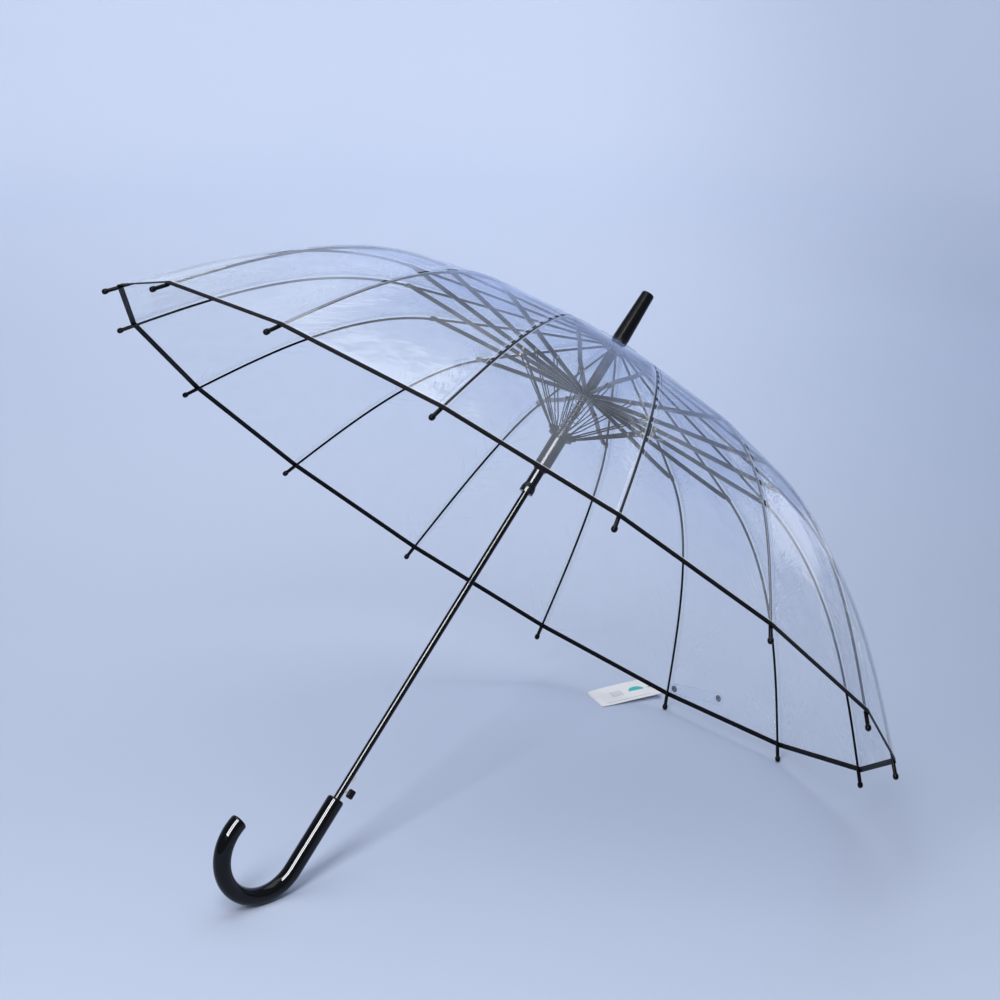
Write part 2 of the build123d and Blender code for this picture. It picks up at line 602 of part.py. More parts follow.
with BuildPart() as hang_tag:
    with BuildSketch():
        with Locations((TAG_LENGTH / 2, TAG_WIDTH / 2)):
            RectangleRounded(TAG_LENGTH, TAG_WIDTH, TAG_CORNER_RADIUS)
        with Locations((TAG_LENGTH - TAG_HOLE_IN, TAG_WIDTH / 2)):
            Circle(TAG_HOLE_RADIUS, mode=Mode.SUBTRACT)
    extrude(amount=TAG_THICK)
leaned["hang_tag"] = (
    Pos(first_tip.X + TAG_CORNER[0], first_tip.Y + TAG_CORNER[1], floor + TAG_FLOOR_GAP)
    * Rotation(0, 0, TAG_HEADING)
    * Rotation(0, -TAG_RISE, 0)
    * hang_tag.part
)

boxes = [piece.bounding_box() for piece in leaned.values()]
west, east = min(box.min.X for box in boxes), max(box.max.X for box in boxes)
south, north = min(box.min.Y for box in boxes), max(box.max.Y for box in boxes)
TO_ORIGIN = Pos(-(west + east) / 2, -(south + north) / 2, -floor)

if __name__ == "__main__":
    os.makedirs("parts", exist_ok=True)
    for name, piece in leaned.items():
        placed = TO_ORIGIN * piece
        placed.label = name
        export_step(placed, f"parts/{name}.step")
    print(f"lean {LEAN:.2f}, tip {TIP_X:.1f} {TIP_Z:.1f} {TIP_SLOPE:.1f}")
    print(f"size {east - west:.1f} {north - south:.1f} {max(box.max.Z for box in boxes) - floor:.1f}")
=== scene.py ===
"""Looks of the clear dome umbrella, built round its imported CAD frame.

The clear film, its hem, strap and snaps, the spring, the rivets and the hang tag are
made here; the rods, links, hubs and handle are the CAD's own pieces with finishes.
Lengths are in metres. The umbrella's own frame has its shaft on "up", its first gore's
middle on "out", and its origin at the centre of the rib hinges.
"""

import json
import math

import bpy
from mathutils import Matrix, Vector, noise


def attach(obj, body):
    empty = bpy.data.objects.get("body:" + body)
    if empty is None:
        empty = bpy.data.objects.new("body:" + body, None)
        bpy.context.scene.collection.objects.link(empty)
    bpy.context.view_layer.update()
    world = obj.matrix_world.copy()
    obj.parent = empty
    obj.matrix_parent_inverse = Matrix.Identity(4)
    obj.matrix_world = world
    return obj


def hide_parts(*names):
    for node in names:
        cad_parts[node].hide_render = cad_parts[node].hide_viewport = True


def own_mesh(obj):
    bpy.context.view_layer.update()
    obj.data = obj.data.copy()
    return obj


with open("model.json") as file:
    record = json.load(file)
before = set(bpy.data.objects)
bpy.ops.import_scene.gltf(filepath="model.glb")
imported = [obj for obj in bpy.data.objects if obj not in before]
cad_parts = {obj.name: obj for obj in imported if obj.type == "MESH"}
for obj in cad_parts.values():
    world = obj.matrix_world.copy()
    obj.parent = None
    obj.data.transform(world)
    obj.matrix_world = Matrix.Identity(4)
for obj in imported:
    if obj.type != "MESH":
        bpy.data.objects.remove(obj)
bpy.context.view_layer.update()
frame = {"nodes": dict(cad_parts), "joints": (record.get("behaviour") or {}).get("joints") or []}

# ---- driving dimensions, the CAD's own but for the hem's ------------------------------
MM = 0.001
RIBS = 16
PITCH = 2 * math.pi / RIBS
PIVOT_RADIUS, PIVOT_HEIGHT = 12.5 * MM, 255.0 * MM
INNER_SLOPES = (11.5, 14.5)
INNER_LENGTH, OUTER_LENGTH = 238.5 * MM, 332.0 * MM
OUTER_BEND, OUTER_ARCS = 35.5, 6
RIB_LENGTH = INNER_LENGTH + OUTER_LENGTH
RIB_CLOSES = math.radians(61.285)
FILM_OFFSET = 2.9 * MM
FILM_CENTRE = (10.0 * MM, 261.7 * MM - PIVOT_HEIGHT)
FILM_JOINS_RIB_AT = 50.0 * MM
HEM_WIDTH, HEM_THICK, HEM_OVER = 6.4 * MM, 0.8 * MM, 1.0 * MM
HEM_CLOSED_SHARE = 0.8  # of the film's closed width, so that neighbours don't touch
ROSETTE_RADIUS, ROSETTE_LIFT, ROSETTE_BUCKLE = 38.0 * MM, 1.4 * MM, 0.5 * MM
BUTTON_TOP, BUTTON_INNER = -324.0 * MM - PIVOT_HEIGHT, 6.6 * MM

JOINTS = {joint["name"]: joint for joint in frame["joints"]}
HINGES = [Vector(JOINTS[f"rib_{i + 1:02d}_hinge"]["pos_m"]) for i in range(RIBS)]
UP = -Vector(JOINTS["runner_slide"]["axis"]).normalized()
CROWN = sum(HINGES, Vector()) / RIBS
OUT = (HINGES[0] + HINGES[-1] - 2 * CROWN).normalized()
SIDE = UP.cross(OUT)


def place(radius, height, azimuth):
    """A point by its distance from the shaft, its height above the rib hinges and its bearing."""
    return CROWN + UP * height + (OUT * math.cos(azimuth) + SIDE * math.sin(azimuth)) * radius


def rib_azimuth(i):
    return (i + 0.5) * PITCH


def outer_slope(share):
    return INNER_SLOPES[1] + OUTER_BEND * (2 * share - share**2)


def rib_arcs():
    """A rib's arcs from hinge to tip: (length, start slope, end slope)."""
    arcs = [(INNER_LENGTH, *INNER_SLOPES)]
    for i in range(OUTER_ARCS):
        ends = outer_slope(i / OUTER_ARCS), outer_slope((i + 1) / OUTER_ARCS)
        arcs.append((OUTER_LENGTH / OUTER_ARCS, *ends))
    return arcs


def rib_point(distance):
    """(radius, height, slope in radians) on a rib's centreline."""
    x, z = PIVOT_RADIUS, 0.0
    for length, first, last in rib_arcs():
        run = min(distance, length)
        a = math.radians(first)
        b = a + math.radians(last - first) * run / length
        radius = length / math.radians(last - first)
        x += radius * (math.sin(b) - math.sin(a))
        z += radius * (math.cos(b) - math.cos(a))
        distance -= run
        if distance <= 0:
            break
    return x + distance * math.cos(b), z - distance * math.sin(b), b


def film_profile(distance, lift=0.0):
    """(radius, height) of the film in a rib's plane. Near the crown it leaves the rib."""
    x, z, slope = rib_point(max(distance, FILM_JOINS_RIB_AT))
    offset = FILM_OFFSET + lift
    x, z = x + offset * math.sin(slope), z + offset * math.cos(slope)
    if distance < FILM_JOINS_RIB_AT:
        share = distance / FILM_JOINS_RIB_AT
        x = FILM_CENTRE[0] + (x - FILM_CENTRE[0]) * share
        z = FILM_CENTRE[1] + lift + (z - FILM_CENTRE[1] - lift) * share
    return x, z


def film_point(i, distance, across, lift=0.0):
    """A point of the film by its distance along rib i and its share, -1 to 1, of the way to
    the middle of the gore on either side."""
    x, z = film_profile(distance, lift)
    side = math.copysign(PITCH / 2, across)
    at_rib = place(x, z, rib_azimuth(i))
    at_middle = place(x * math.cos(PITCH / 2), z, rib_azimuth(i) + side)
    return at_rib.lerp(at_middle, abs(across))


# ---- small tools ---------------------------------------------------------------------
def new_piece(name, points, faces, material, smooth=True, uv=None):
    """A mesh object. uv gives each vertex its place in the material's pattern."""
    mesh = bpy.data.meshes.new(name)
    mesh.from_pydata([tuple(p) for p in points], [], faces)
    mesh.validate()
    mesh.polygons.foreach_set("use_smooth", [smooth] * len(mesh.polygons))
    if uv:
        layer = mesh.uv_layers.new(name="pattern")
        for loop in mesh.loops:
            layer.data[loop.index].uv = uv[loop.vertex_index]
    mesh.materials.append(material)
    piece = bpy.data.objects.new(name, mesh)
    bpy.context.scene.collection.objects.link(piece)
    return piece


def grid_faces(rows, columns):
    return [
        (r * columns + c, r * columns + c + 1, (r + 1) * columns + c + 1, (r + 1) * columns + c)
        for r in range(rows - 1)
        for c in range(columns - 1)
    ]


def tube(path, radius, sides=12, closed=False):
    """Points and faces of a round tube along a path, with flat ends unless it is closed."""
    points, faces = [], []
    count = len(path)
    normal = None
    for k, point in enumerate(path):
        before = path[k - 1] if k or closed else point
        after = path[(k + 1) % count] if k + 1 < count or closed else point
        along = (after - before).normalized()
        if normal is None:
            normal = along.orthogonal().normalized()
        normal = (normal - along * normal.dot(along)).normalized()
        third = along.cross(normal)
        for s in range(sides):
            a = 2 * math.pi * s / sides
            points.append(point + (normal * math.cos(a) + third * math.sin(a)) * radius)
    for k in range(count if closed else count - 1):
        for s in range(sides):
            a, b = k * sides + s, k * sides + (s + 1) % sides
            c, d = ((k + 1) % count) * sides + s, ((k + 1) % count) * sides + (s + 1) % sides
            faces.append((a, b, d, c))
    if not closed:
        faces.append(tuple(reversed(range(sides))))
        faces.append(tuple(range((count - 1) * sides, count * sides)))
    return points, faces


def turned(centre, axis, profile, sides=24):
    """Points and faces of a turned solid: profile lists (radius, distance along the axis)."""
    axis = axis.normalized()
    first = axis.orthogonal().normalized()
    second = axis.cross(first)
    points, faces = [], []
    for radius, along in profile:
        for s in range(sides):
            a = 2 * math.pi * s / sides
            spoke = first * math.cos(a) + second * math.sin(a)
            points.append(centre + axis * along + spoke * radius)
    for k in range(len(profile) - 1):
        for s in range(sides):
            a, b = k * sides + s, k * sides + (s + 1) % sides
            faces.append((a, b, b + sides, a + sides))
    faces.append(tuple(reversed(range(sides))))
    faces.append(tuple(range((len(profile) - 1) * sides, len(profile) * sides)))
    return points, faces


def join_parts(parts):
    """One list of points and one of faces from several."""
    points, faces = [], []
    for more_points, more_faces in parts:
        start = len(points)
        points += more_points
        faces += [tuple(start + v for v in face) for face in more_faces]
    return points, faces


# ---- materials -----------------------------------------------------------------------
class Nodes:
    """A material's node tree, with short calls to add and link nodes."""

    def __init__(self, name):
        self.material = bpy.data.materials.new(name)
        self.material.use_nodes = True
        self.tree = self.material.node_tree
        self.tree.nodes.clear()
        self.output = self.add("ShaderNodeOutputMaterial")

    def add(self, kind, inputs=None, **settings):
        node = self.tree.nodes.new(kind)
        for key, value in settings.items():
            setattr(node, key, value)
        for key, value in (inputs or {}).items():
            self.put(node.inputs[key], value)
        return node

    def put(self, socket, value):
        if isinstance(value, bpy.types.NodeSocket):
            self.tree.links.new(value, socket)
        elif isinstance(value, bpy.types.Node):
            self.tree.links.new(value.outputs[0], socket)
        else:
            socket.default_value = value

    def math(self, operation, first, second=0.0, third=0.0, clamp=False):
        node = self.add("ShaderNodeMath", {0: first, 1: second, 2: third}, operation=operation)
        node.use_clamp = clamp
        return node.outputs[0]

    def ramp(self, value, low, high, to_low=0.0, to_high=1.0):
        """value taken smoothly from between low and high to between to_low and to_high."""
        return self.add(
            "ShaderNodeMapRange",
            {0: value, 1: low, 2: high, 3: to_low, 4: to_high},
            interpolation_type="SMOOTHSTEP",
        ).outputs[0]

    def noise(self, vector, scale, detail=4.0, roughness=0.5):
        inputs = {"Vector": vector, "Scale": scale, "Detail": detail, "Roughness": roughness}
        return self.add("ShaderNodeTexNoise", inputs).outputs["Fac"]

    def position(self):
        return self.add("ShaderNodeTexCoord").outputs["Object"]

    def bump(self, height, distance, strength=1.0):
        inputs = {"Height": height, "Distance": distance, "Strength": strength}
        return self.add("ShaderNodeBump", inputs).outputs[0]

    def mix_colour(self, share, first, second):
        node = self.add("ShaderNodeMix", data_type="RGBA")
        self.put(node.inputs["Factor"], share)
        self.put(node.inputs["A"], first)
        self.put(node.inputs["B"], second)
        return node.outputs["Result"]

    def finish(self, shader):
        self.put(self.output.inputs["Surface"], shader)
        return self.material


def black_finish(name, shade, roughness, grain, mirror=0.3, depth=0.02 * MM, tint=(0.8, 0.9, 1.4)):
    """A black moulded or painted surface: faint mottle, handling marks and a fine grain."""
    n = Nodes(name)
    where = n.position()
    mottle = n.noise(where, 38.0, 3.0)
    marks = n.ramp(n.noise(where, 160.0, 6.0, 0.65), 0.52, 0.72)
    colour = n.mix_colour(
        mottle,
        tuple(shade * 0.8 * t for t in tint) + (1,),
        tuple(shade * 1.3 * t for t in tint) + (1,),
    )
    rough = n.math("ADD", n.math("MULTIPLY", marks, 0.09), roughness)
    inputs = {
        "Base Color": colour,
        "Roughness": rough,
        "Specular IOR Level": mirror,
        "Normal": n.bump(n.noise(where, grain, 3.0), depth, 0.35),
    }
    return n.finish(n.add("ShaderNodeBsdfPrincipled", inputs).outputs[0])


def metal_finish(name, colour, roughness, grain=900.0):
    """Bare wire or a rivet: drawn metal with slight tarnish."""
    n = Nodes(name)
    where = n.position()
    dull = n.ramp(n.noise(where, 220.0, 4.0), 0.4, 0.75)
    tone = n.mix_colour(dull, (*colour, 1), (*(c * 0.55 for c in colour), 1))
    inputs = {
        "Base Color": tone,
        "Metallic": 1.0,
        "Roughness": n.math("ADD", n.math("MULTIPLY", dull, 0.15), roughness),
        "Normal": n.bump(n.noise(where, grain, 2.0), 0.01 * MM, 0.3),
    }
    return n.finish(n.add("ShaderNodeBsdfPrincipled", inputs).outputs[0])


CREASE_SLANT = 1.1  # how far a crease runs along the rib for its distance from the seam
CREASES_ACROSS, CREASES_ALONG = 26.0, 115.0  # per metre
CREASE_AND_GLARE_SIDE = (0.763, -0.647, -0.25)  # the dome's lower right has most of them, and their painted glare
CROWN_VEIL, CROWN_VEIL_END = 0.38, 360 * MM
MIRROR_HEAD_ON, MIRROR_GRAZING = 0.065, 0.7
WELD_AND_HIGHLIGHT_LINE = (2.3 * MM, 2.8 * MM, 3.1 * MM, 3.8 * MM)
WELD_MARGIN = (2.0 * MM, 3.0 * MM, 6.5 * MM, 8.5 * MM)
CROWN_CAST, OUTER_CAST = (0.40, 0.56, 1.0, 1), (0.80, 0.88, 1.0, 1)
WELD_AND_GLARE_WHITE = (0.94, 0.97, 1.0, 1)


def film_finish(name, haze, seams=True):
    """Clear soft film: see-through, hazier and more mirror-like at a shallow angle. With seams it is milkier
    and bluer near the crown, clear where it lies on a rib and white on the weld beside it, a white that is
    partly a painted highlight, and it has a painted highlight line along its edge above the hem. Small
    creases fan out from the seams; on the dome's lower right their streaks are also painted glare, whitened
    and milky."""
    n = Nodes(name)
    place_uv = n.add("ShaderNodeUVMap", uv_map="pattern").outputs[0]
    split = n.add("ShaderNodeSeparateXYZ", {0: place_uv})
    across, along = split.outputs[0], split.outputs[1]
    from_seam = n.math("ABSOLUTE", across)
    facing = n.add("ShaderNodeLayerWeight", {"Blend": 0.5}).outputs["Facing"]
    grazing = n.math("POWER", facing, 3.0)
    where = n.position()

    # creases run off the seam at a slant, in patches, more and longer on the dome's lower right, where their
    # streaks are also painted glare that makes the film whiter and milkier
    slanted = n.math("ADD", along, n.math("MULTIPLY", from_seam, CREASE_SLANT))
    wander = n.math("MULTIPLY", n.noise(where, 26.0, 2.0), 0.03)
    crease_x = n.math("MULTIPLY", across, CREASES_ACROSS)
    crease_y = n.math("MULTIPLY", n.math("ADD", slanted, wander), CREASES_ALONG)
    stretched = n.add("ShaderNodeCombineXYZ", {0: crease_x, 1: crease_y})
    crease = n.noise(stretched.outputs[0], 1.0, 3.0, 0.6)
    patches = n.ramp(n.noise(where, 7.5, 2.0), 0.40, 0.60)
    dot = n.add("ShaderNodeVectorMath", {0: where, 1: CREASE_AND_GLARE_SIDE}, operation="DOT_PRODUCT")
    sideways = dot.outputs["Value"]
    lower_side = n.ramp(sideways, -0.15, 0.30, 0.45, 1.0)
    reach = n.ramp(sideways, 0.10, 0.32, 45 * MM, 110 * MM)
    past_weld = n.ramp(from_seam, 3.5 * MM, 6 * MM)
    near = n.math("MULTIPLY", past_weld, n.ramp(from_seam, 10 * MM, reach, 1.0, 0.0))
    creasing = n.math("MULTIPLY", n.math("MULTIPLY", near, patches), lower_side)
    # painted glare: crease streaks, mostly on the dome's lower right, whiten the film and make it milkier
    glare_streak = n.math("MULTIPLY", n.ramp(crease, 0.54, 0.70), creasing)
    broad = n.ramp(n.noise(where, 14.0, 3.0), 0.3, 0.75, 0.6, 1.4)

    veil = n.math("ADD", n.math("MULTIPLY", grazing, 0.50), haze)
    if seams:
        veil = n.math("ADD", veil, n.ramp(along, 40 * MM, CROWN_VEIL_END, CROWN_VEIL, 0.0))
    veil = n.math("MULTIPLY", veil, broad)
    veil = n.math("ADD", veil, n.math("MULTIPLY", glare_streak, 0.45))
    weld_white_and_glare = n.math("MULTIPLY", glare_streak, 0.8)
    mirror = n.math("MULTIPLY", n.math("POWER", facing, 5.0), MIRROR_GRAZING)
    mirror = n.math("ADD", mirror, MIRROR_HEAD_ON)
    if seams:
        # the film is clearest where it lies on the rib, and milky on the welded margin beside it; the thin
        # white line on the weld is partly a painted highlight, and the white line along the film's edge above
        # the hem is a painted highlight
        on_rib = n.ramp(along, 60 * MM, 380 * MM, 0.8, 0.15)
        over_rib = n.ramp(from_seam, 1.3 * MM, 2.2 * MM, on_rib, 1.0)
        # a thin white line on the weld, partly a painted highlight
        low, high, fade, gone = WELD_AND_HIGHLIGHT_LINE
        edge = n.math("MULTIPLY", n.ramp(from_seam, low, high), n.ramp(from_seam, fade, gone, 0.38, 0.0))
        low, high, fade, gone = WELD_MARGIN
        margin = n.math("MULTIPLY", n.ramp(from_seam, low, high), n.ramp(from_seam, fade, gone, 1.0, 0.0))
        margin = n.math("MULTIPLY", margin, n.ramp(along, 90 * MM, 400 * MM, 0.26, 0.04))
        edge = n.math("MAXIMUM", edge, margin)
        # painted highlight: a white line along the film's edge above the hem
        rim = n.ramp(along, FILM_END - 2.2 * MM, FILM_END - 1.2 * MM, 0.0, 0.5)
        edge = n.math("MAXIMUM", edge, rim)
        veil = n.math("ADD", n.math("MULTIPLY", veil, over_rib), edge)
        weld_white_and_glare = n.math("ADD", weld_white_and_glare, edge)
        mirror = n.math("MULTIPLY", mirror, over_rib)
    veil = n.math("MINIMUM", veil, 0.9)

    ripples = n.math(
        "ADD",
        n.math("MULTIPLY", crease, n.math("ADD", creasing, n.math("MULTIPLY", near, 0.25))),
        n.math("MULTIPLY", n.noise(where, 30.0, 2.0), 0.25),
    )
    normal = n.bump(ripples, 3.0 * MM, 1.0)
    outer = n.ramp(along, 260 * MM, 470 * MM) if seams else 1.0
    cast = n.mix_colour(outer, CROWN_CAST, OUTER_CAST)
    # the tone turns white on the weld and where there is painted glare or a painted highlight line
    tone = n.mix_colour(n.math("MINIMUM", weld_white_and_glare, 1.0), cast, WELD_AND_GLARE_WHITE)

    clear = n.add("ShaderNodeBsdfTransparent", {"Color": (0.985, 0.99, 1.0, 1)})
    cloud = n.add("ShaderNodeBsdfDiffuse", {"Color": tone, "Normal": normal})
    glow = n.add("ShaderNodeBsdfTranslucent", {"Color": tone, "Normal": normal})
    cloudy = n.add("ShaderNodeMixShader", {0: 0.45, 1: cloud.outputs[0], 2: glow.outputs[0]})
    body = n.add("ShaderNodeMixShader", {0: veil, 1: clear.outputs[0], 2: cloudy.outputs[0]})
    gloss = n.add("ShaderNodeBsdfGlossy", {"Color": (1, 1, 1, 1), "Roughness": 0.12, "Normal": normal})
    film = n.add("ShaderNodeMixShader", {0: mirror, 1: body.outputs[0], 2: gloss.outputs[0]})
    return n.finish(film.outputs[0])


def ribbon_finish():
    """Black woven ribbon: cross-wise ribs, a stitch line and soft sheen."""
    n = Nodes("hem_ribbon")
    uv = n.add("ShaderNodeUVMap", uv_map="pattern").outputs[0]
    split = n.add("ShaderNodeSeparateXYZ", {0: uv})
    across, along = split.outputs[0], split.outputs[1]
    weave = n.math("SINE", n.math("MULTIPLY", across, 2 * math.pi / (0.55 * MM)))
    weft = n.math("SINE", n.math("MULTIPLY", along, 2 * math.pi / (0.4 * MM)))
    cloth = n.math("MULTIPLY", n.math("ADD", weave, n.math("MULTIPLY", weft, 0.5)), 0.5)
    line = n.ramp(n.math("ABSOLUTE", n.math("SUBTRACT", along, 2.0 * MM)), 0.2 * MM, 0.35 * MM, 1.0, 0.0)
    dashes = n.ramp(n.math("SINE", n.math("MULTIPLY", across, 2 * math.pi / (3.4 * MM))), -0.75, -0.5)
    stitch = n.math("MULTIPLY", line, dashes)
    worn = n.noise(n.position(), 60.0, 4.0)
    colour = n.mix_colour(worn, (0.002, 0.002, 0.004, 1), (0.005, 0.005, 0.008, 1))
    colour = n.mix_colour(stitch, colour, (0.02, 0.021, 0.028, 1))
    height = n.math("ADD", n.math("MULTIPLY", cloth, 0.3), stitch)
    inputs = {
        "Base Color": colour,
        "Roughness": 0.55,
        "Specular IOR Level": 0.08,
        "Sheen Weight": 0.01,
        "Sheen Roughness": 0.4,
        "Normal": n.bump(height, 0.12 * MM, 0.8),
    }
    return n.finish(n.add("ShaderNodeBsdfPrincipled", inputs).outputs[0])


def card_finish():
    """Coated white card with a plain printed teal shape and grey bars."""
    n = Nodes("tag_card")
    uv = n.add("ShaderNodeUVMap", uv_map="pattern").outputs[0]
    split = n.add("ShaderNodeSeparateXYZ", {0: uv})
    x, y = split.outputs[0], split.outputs[1]

    def inside(value, low, high, soft=0.3 * MM):
        past_low = n.ramp(value, low - soft, low + soft)
        return n.math("MULTIPLY", past_low, n.ramp(value, high - soft, high + soft, 1.0, 0.0))

    dx, dy = n.math("SUBTRACT", x, 60 * MM), n.math("SUBTRACT", y, 24 * MM)
    distance = n.math("SQRT", n.math("ADD", n.math("MULTIPLY", dx, dx), n.math("MULTIPLY", dy, dy)))
    dome = n.math("MULTIPLY", n.ramp(distance, 10.5 * MM, 11 * MM, 1.0, 0.0), n.ramp(dy, -0.2 * MM, 0.2 * MM))
    rows = n.ramp(n.math("SINE", n.math("MULTIPLY", y, 2 * math.pi / (3.2 * MM))), 0.2, 0.5)
    panel = n.math("MULTIPLY", inside(x, 24 * MM, 40 * MM), inside(y, 18 * MM, 33 * MM))
    bars = n.math("MULTIPLY", panel, rows)
    foot = n.math("MULTIPLY", inside(x, 10 * MM, 72 * MM), inside(y, 6 * MM, 7 * MM))
    fibre = n.noise(n.position(), 700.0, 4.0)
    paper = n.mix_colour(fibre, (0.80, 0.81, 0.82, 1), (0.88, 0.88, 0.89, 1))
    grey_print = n.math("MULTIPLY", n.math("ADD", bars, foot, clamp=True), 0.7)
    colour = n.mix_colour(grey_print, paper, (0.22, 0.23, 0.26, 1))
    colour = n.mix_colour(dome, colour, (0.01, 0.50, 0.47, 1))
    inputs = {
        "Base Color": colour,
        "Roughness": 0.38,
        "Normal": n.bump(fibre, 0.02 * MM, 0.3),
    }
    return n.finish(n.add("ShaderNodeBsdfPrincipled", inputs).outputs[0])


FILM_END = RIB_LENGTH - HEM_WIDTH + HEM_OVER + 0.5 * MM
FILM = film_finish("clear_film", 0.10)
ROSETTE_FILM = film_finish("rosette_film", 0.24, seams=False)
STRAP_FILM = film_finish("strap_film", 0.03, seams=False)
RIBBON = ribbon_finish()
CARD = card_finish()
BRASS = metal_finish("brass", (0.72, 0.50, 0.24), 0.22)
STEEL = metal_finish("spring_wire", (0.30, 0.31, 0.33), 0.3)
SNAP = black_finish("snap_plastic", 0.03, 0.25, 900.0)
FINISHES = {
    "handle": black_finish("handle_gloss", 0.003, 0.05, 260.0, mirror=0.24, depth=0.002 * MM),
    "shaft": black_finish("shaft_paint", 0.003, 0.07, 420.0, mirror=0.24, depth=0.002 * MM),
    "release_button": black_finish("button_gloss", 0.004, 0.14, 500.0),
    "crown": black_finish("crown_satin", 0.007, 0.34, 600.0, mirror=0.25),
    "ferrule": black_finish("ferrule_satin", 0.004, 0.22, 420.0, mirror=0.25, depth=0.003 * MM),
    "upper_hub": black_finish("hub_satin", 0.008, 0.30, 600.0, mirror=0.25),
    "runner": black_finish("runner_satin", 0.006, 0.20, 500.0),
    "rib": black_finish("rib_coat", 0.003, 0.16, 800.0, mirror=0.15),
    "stretcher": black_finish("stretcher_paint", 0.006, 0.28, 900.0, mirror=0.25),
    "strut": black_finish("strut_wire_paint", 0.006, 0.25, 900.0, mirror=0.25),
}
BEIGE = black_finish("catch_steel", 0.45, 0.32, 700.0, mirror=0.5, tint=(1.0, 0.95, 0.86))
for node_name, node in frame["nodes"].items():
    kind = node_name.rsplit("_", 1)[0] if node_name[-2:].isdigit() else node_name
    if kind in FINISHES:
        node.data.materials.clear()
        node.data.materials.append(FINISHES[kind])


button = frame["nodes"]["release_button"].data
button.materials.append(BEIGE)
for polygon in button.polygons:
    from_crown = polygon.center - CROWN
    height = from_crown.dot(UP)
    if height > BUTTON_TOP or (from_crown - UP * height).length < BUTTON_INNER:
        polygon.material_index = 1


# ---- clear film ----------------------------------------------------------------------
BAND_EDGES = [e * MM for e in (0, 50, 110, 175, 240, 305, 365, 420, 470, 515)] + [FILM_END]
ROW_STEP = 4 * MM
WELD_EDGE = 3.6 * MM
SEAM_COLUMNS = (0.0, 1.2 * MM, 3.0 * MM, WELD_EDGE, 6 * MM, 9 * MM, 13 * MM, 18 * MM, 25 * MM)
SEAM_ZONE = 0.7  # the share of a half gore that these columns may take up
OUTER_COLUMNS = 5
PUCKER_FROM_SEAM, PUCKER_SPREAD, PUCKER_HEIGHT = 15 * MM, 8 * MM, 1.2 * MM
OTHER_SIDE_SEED = 40
LEAST_CLOSED_SHARE, CLOSED_ROOM = 0.012, 0.96  # CLOSED_ROOM leaves a gap between neighbours


def closed_share(distance):
    """How wide the film round a rib may be once the ribs are closed, as a share of its open width."""
    x, z = film_profile(distance)
    shares = [1.0]
    for radius in (x, x * math.cos(PITCH / 2) ** 2):  # at the rib, and at the middle of the gore
        dx = radius - PIVOT_RADIUS
        closed = PIVOT_RADIUS + dx * math.cos(RIB_CLOSES) + z * math.sin(RIB_CLOSES)
        shares.append(closed / radius)
    return max(LEAST_CLOSED_SHARE, min(shares)) * CLOSED_ROOM


def columns_at(half_width):
    """Distances from the seam at which the film has a column, packed close to the seam."""
    zone = half_width * SEAM_ZONE
    seam = [c for c in SEAM_COLUMNS if c < zone]
    seam += [zone] * (len(SEAM_COLUMNS) - len(seam))
    last = seam[-1]
    return seam + [last + (half_width - last) * (k + 1) / OUTER_COLUMNS for k in range(OUTER_COLUMNS)]


def pucker(seed, distance, from_seam):
    """Height of the small slanted folds beside a weld, which come in patches along it."""
    if from_seam <= WELD_EDGE:
        return 0.0
    grip = math.exp(-(((from_seam - PUCKER_FROM_SEAM) / PUCKER_SPREAD) ** 2))
    fold = noise.noise(Vector((seed * 7.3, (distance + 0.7 * from_seam) * 80, from_seam * 20)))
    patch = max(0.0, noise.noise(Vector((seed * 3.1, distance * 14, 0.5))) + 0.3)
    return grip * patch * fold * PUCKER_HEIGHT


def film_band(i, start, end):
    """The film on both sides of rib i, between two distances along the rib."""
    rows = max(2, math.ceil((end - start) / ROW_STEP) + 1)
    points, uv = [], []
    for r in range(rows):
        distance = start + (end - start) * r / (rows - 1)
        x, _ = film_profile(distance)
        half_width = x * math.sin(PITCH / 2)
        columns = columns_at(half_width)
        offsets = [-c for c in reversed(columns[1:])] + columns
        for offset in offsets:
            across = offset / half_width
            seed = i + (OTHER_SIDE_SEED if offset < 0 else 0)
            lift = pucker(seed, distance, abs(offset)) * (1 - across**2)
            points.append(film_point(i, distance, across, lift))
            uv.append((offset, distance))
    faces = grid_faces(rows, len(offsets))
    return points, faces, uv


def flat_size(start, end):
    """Greatest width, length and area of a band before it is stretched over the ribs."""
    steps = 24
    widths, length = [], 0.0
    for k in range(steps + 1):
        x, z = film_profile(start + (end - start) * k / steps)
        widths.append(2 * x * math.sin(PITCH / 2))
        if k:
            length += math.dist((x, z), last)
        last = (x, z)
    area = sum((a + b) / 2 for a, b in zip(widths, widths[1:])) / steps * length
    return max(widths), length, area


def make_film():
    for i in range(RIBS):
        body = f"rib_{i + 1:02d}"
        for k, (start, end) in enumerate(zip(BAND_EDGES, BAND_EDGES[1:])):
            points, faces, uv = film_band(i, start, end)
            piece = new_piece(f"film_{i + 1:02d}_{k + 1}", points, faces, FILM, uv=uv)
            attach(piece, body)
            closed_share((start + end) / 2)
            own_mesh(piece)
            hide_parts("canopy")
            width, length, area = flat_size(start, end)


